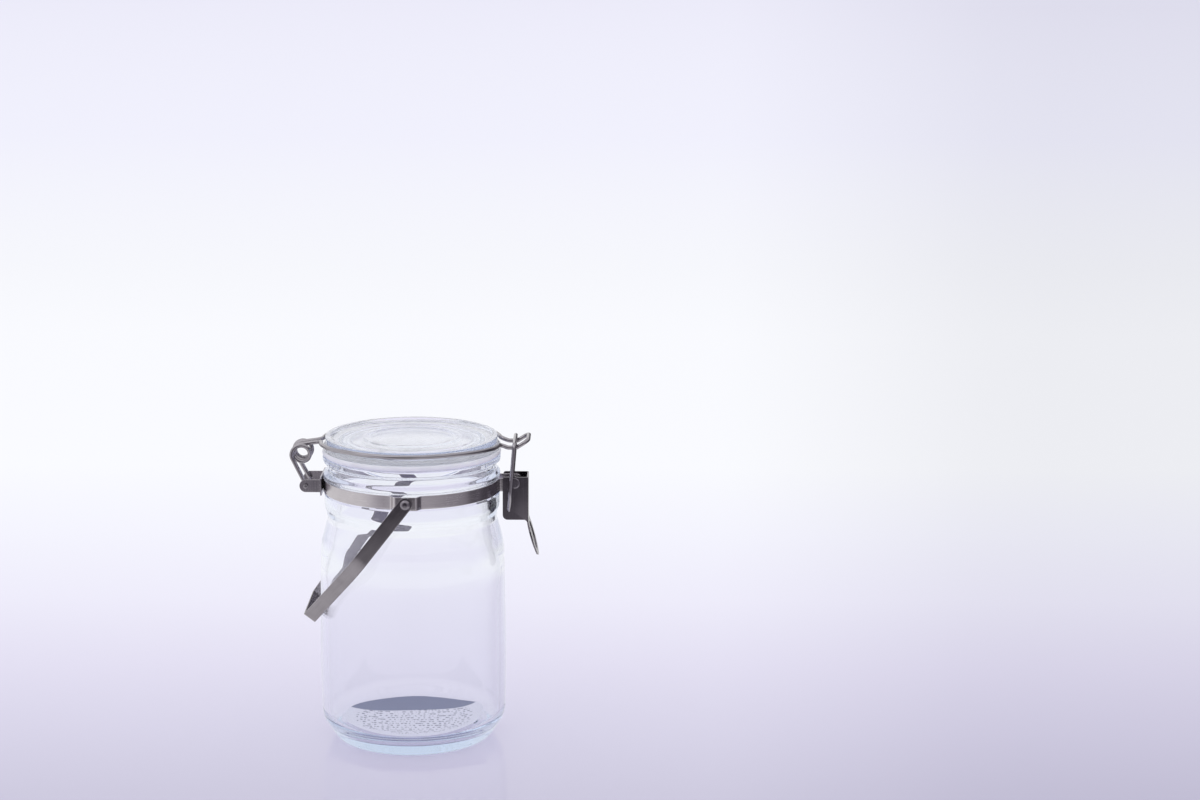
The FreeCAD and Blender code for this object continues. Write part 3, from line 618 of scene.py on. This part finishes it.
piece("band_strip", [neck_band_strip()], "jar", "neck_band", steel_band)
piece("handle_bow", [handle_bow()], "handle", "handle_strap", steel_handle)
piece("rivet_front", [rivet(-1)], "jar", "handle_rivet_front", headed_steel_painted_shade)
piece("rivet_back", [rivet(1)], "jar", "handle_rivet_back", headed_steel_painted_shade)
piece("pin_turned", [pin()], "jar", "lever_pin", headed_steel_painted_shade)
pressed("hinge_bracket", "jar", bracket_steel_painted_light, 0.2)
pressed("latch_lever", "lever", lever_steel_painted_shade, 0.2)

# ---- leaflet ----

def paper_disc():
    """Round sheet that has curled up at both sides: height grows with the fourth power of the distance from
    its middle line, and more towards the clamp."""
    edge, thickness, lift, curl, lean = 39.5, 0.22, 0.3, 5.0, 1.5
    r = np.r_[0, np.linspace(2, edge - 0.1, 30), edge, edge - 0.1, np.linspace(edge - 1.5, 0, 30)]
    a = np.linspace(0, 2 * np.pi, 160, endpoint=False)
    x, y = r[:, None] * np.cos(a), r[:, None] * np.sin(a)
    under = np.arange(len(r))[:, None] > 31
    out = x / edge
    z = FLOOR_INSIDE + lift + (curl + lean * out) * out ** 4 + np.where(under, 0, thickness)
    return np.stack([x, y, z], axis=-1)


piece("leaflet_sheet", [paper_disc()], "jar", "leaflet", paper, sharp=60)

# ---- floor, light and camera ----

# colour of the floor by the distance behind the jar's middle, in metres
FLOOR = ((-0.25, "B7B2CE"), (-0.106, "C6C2DA"), (0.003, "D3CFE6"), (0.13, "E0DCF1"), (0.279, "ECEAFA"),
         (0.457, "F3F3FE"), (0.674, "F9FAFF"), (1.29, "F9FAFF"), (1.75, "F6F7FD"))
FAR_FLOOR = ((1.75, "F6F7FD"), (3.31, "F0F0FE"), (7.75, "EBEAFA"))

# what stands round the jar, by the bearing from -Y in degrees, + towards the clamp
TENT = ((-180, "FFFFFF"), (-62, "FFFFFF"), (-44, "D8D6DC"), (-22, "9A979E"), (-10, "66626A"), (-4, "524E56"),
        (4, "5A565E"), (12, "A6A2AA"), (20, "BFBCC2"), (46, "ACA9B0"), (76, "A09DA4"), (82, "5A565E"),
        (90, "4A464E"), (95, "8E8A94"), (101, "4A464E"), (171, "545058"), (177, "FFFFFF"), (180, "FFFFFF"))
GLASS_SHARE = 0.3           # how much of it the blown glass shows; the rest is the plain surroundings


def tent_shine(tree, split):
    """What shining pieces see round the jar, by the bearing atan2(x, -y): white behind and at the hinge's
    side, grey in front, and dark past the clamp, as from a carton that stands there."""
    ahead = add(tree, "ShaderNodeMath", {"operation": "MULTIPLY", 1: -1.0}, _0=split.outputs[1])
    bearing = add(tree, "ShaderNodeMath", {"operation": "ARCTAN2"}, _0=split.outputs[0], _1=ahead.outputs[0])
    return graded(tree, bearing.outputs[0], [(np.radians(degrees), code) for degrees, code in TENT])


def shining_ray(tree):
    """1 for a ray thrown back by a surface with some roughness (metal, the lid, the floor), GLASS_SHARE for
    one thrown back by the blown glass, which has none, and 0 for the rest, rays that come through glass
    among them."""
    path = add(tree, "ShaderNodeLightPath")
    thrown = add(tree, "ShaderNodeMath", {"operation": "SUBTRACT", "use_clamp": True},
                 _0=path.outputs["Is Glossy Ray"], _1=path.outputs["Is Transmission Ray"])
    share = add(tree, "ShaderNodeMapRange", {3: 1.0, 4: GLASS_SHARE}, _0=path.outputs["Is Singular Ray"])
    shine = add(tree, "ShaderNodeMath", {"operation": "MULTIPLY"}, _0=thrown.outputs[0], _1=share.outputs[0])
    return shine.outputs[0]


def studio_floor():
    """Glossy acrylic sheet, lavender close by and paling to white further back. About a seventh of what it
    shows is the reflection, and half of the rest is plain colour, so that the shadow on it is faint. What
    shines sees the tent in it, but white in a strip from before the jar to behind it."""
    made, tree = material("acrylic sheet")
    place = add(tree, "ShaderNodeTexCoord").outputs["Object"]
    split = add(tree, "ShaderNodeSeparateXYZ", _0=place)
    close, distant = graded(tree, split.outputs[1], FLOOR), graded(tree, split.outputs[1], FAR_FLOOR)
    behind = add(tree, "ShaderNodeMath", {"operation": "GREATER_THAN", 1: FLOOR[-1][0]}, _0=split.outputs[1])
    colour = add(tree, "ShaderNodeMix", {"data_type": "RGBA"}, _0=behind.outputs[0], _6=close, _7=distant)
    plain = add(tree, "ShaderNodeEmission", {"Strength": 1.05}, Color=colour.outputs["Result"])
    lit = add(tree, "ShaderNodeBsdfDiffuse", Color=colour.outputs["Result"])
    body = add(tree, "ShaderNodeMixShader", {0: 0.5}, _1=plain.outputs[0], _2=lit.outputs[0])
    mirror = add(tree, "ShaderNodeBsdfGlossy", {"Roughness": 0.07})
    seen = add(tree, "ShaderNodeMixShader", {0: 0.15}, _1=body.outputs[0], _2=mirror.outputs[0])
    near = add(tree, "ShaderNodeMapRange", {1: -0.62, 2: -0.2}, _0=split.outputs[1])
    off = add(tree, "ShaderNodeMath", {"operation": "ABSOLUTE"}, _0=split.outputs[0])
    white = add(tree, "ShaderNodeMapRange", {1: 0.3, 2: 0.2, 3: 0.0}, _0=off.outputs[0], _4=near.outputs[0])
    cast = add(tree, "ShaderNodeMix", {"data_type": "RGBA"}, _0=white.outputs[0], _6=tent_shine(tree, split))
    cast.inputs[7].default_value = linear("FFFFFF")
    shade = add(tree, "ShaderNodeEmission", {"Strength": 1.0}, Color=cast.outputs["Result"])
    mixed = add(tree, "ShaderNodeMixShader", {}, _0=shining_ray(tree), _1=seen.outputs[0],
                _2=shade.outputs[0])
    add(tree, "ShaderNodeOutputMaterial", Surface=mixed.outputs[0])
    mesh = bpy.data.meshes.new("floor")
    x, y = np.meshgrid([-9.0, 9.0], [-9.0, 18.0])
    mesh.from_pydata(np.stack([x, y, 0 * x - 0.0001], axis=-1).reshape(-1, 3), [], [(0, 1, 3, 2)])
    mesh.materials.append(made)
    sheet = bpy.data.objects.new("floor", mesh)
    bpy.context.scene.collection.objects.link(sheet)


def studio_light():
    """A white tent: even light for what is matt, the tent's greys, white overhead, for what shines, and a
    soft lamp above."""
    world = bpy.data.worlds.new("studio")
    bpy.context.scene.world = world
    world.use_nodes = True
    tree = world.node_tree
    tree.nodes.clear()
    way = add(tree, "ShaderNodeTexCoord").outputs["Generated"]
    split = add(tree, "ShaderNodeSeparateXYZ", _0=way)
    high = add(tree, "ShaderNodeMapRange", {1: 0.25, 2: 0.6}, _0=split.outputs[2])
    shine = add(tree, "ShaderNodeMix", {"data_type": "RGBA"}, _0=high.outputs[0], _6=tent_shine(tree, split))
    shine.inputs[7].default_value = (1, 1, 1, 1)
    path = add(tree, "ShaderNodeLightPath")
    glossy = add(tree, "ShaderNodeBackground", {"Strength": 1.0}, Color=shine.outputs["Result"])
    even = add(tree, "ShaderNodeBackground", {"Color": (1, 1, 1, 1), "Strength": 1.0})
    seen = add(tree, "ShaderNodeBackground", {"Color": linear("FAFBFF"), "Strength": 1.0})
    dull = add(tree, "ShaderNodeMixShader", {}, _0=path.outputs["Is Diffuse Ray"], _1=seen.outputs[0],
               _2=even.outputs[0])
    shown = add(tree, "ShaderNodeMixShader", {}, _0=shining_ray(tree), _1=dull.outputs[0],
                _2=glossy.outputs[0])
    add(tree, "ShaderNodeOutputWorld", Surface=shown.outputs[0])
    lamp = bpy.data.lights.new("softbox", "AREA")
    lamp.size, lamp.energy = 1.2, 2.0
    made = bpy.data.objects.new("softbox", lamp)
    bpy.context.scene.collection.objects.link(made)
    made.location = (-0.9, -0.5, 1.5)
    made.rotation_mode = "QUATERNION"
    made.rotation_quaternion = (-made.location).to_track_quat("-Z", "Y")


def camera():
    lens = bpy.data.cameras.new("camera")
    lens.lens, lens.sensor_width = 78.5, 36.0
    made = bpy.data.objects.new("camera", lens)
    bpy.context.scene.collection.objects.link(made)
    made.location = (0.1059, -1.439, 0.4925)
    tilt, roll = Matrix.Rotation(np.radians(78.35), 3, "X"), Matrix.Rotation(np.radians(0.3), 3, "Z")
    made.rotation_euler = (tilt @ roll).to_euler()
    bpy.context.scene.camera = made


studio_floor()
studio_light()
camera()
bpy.context.scene.view_settings.view_transform = "Standard"
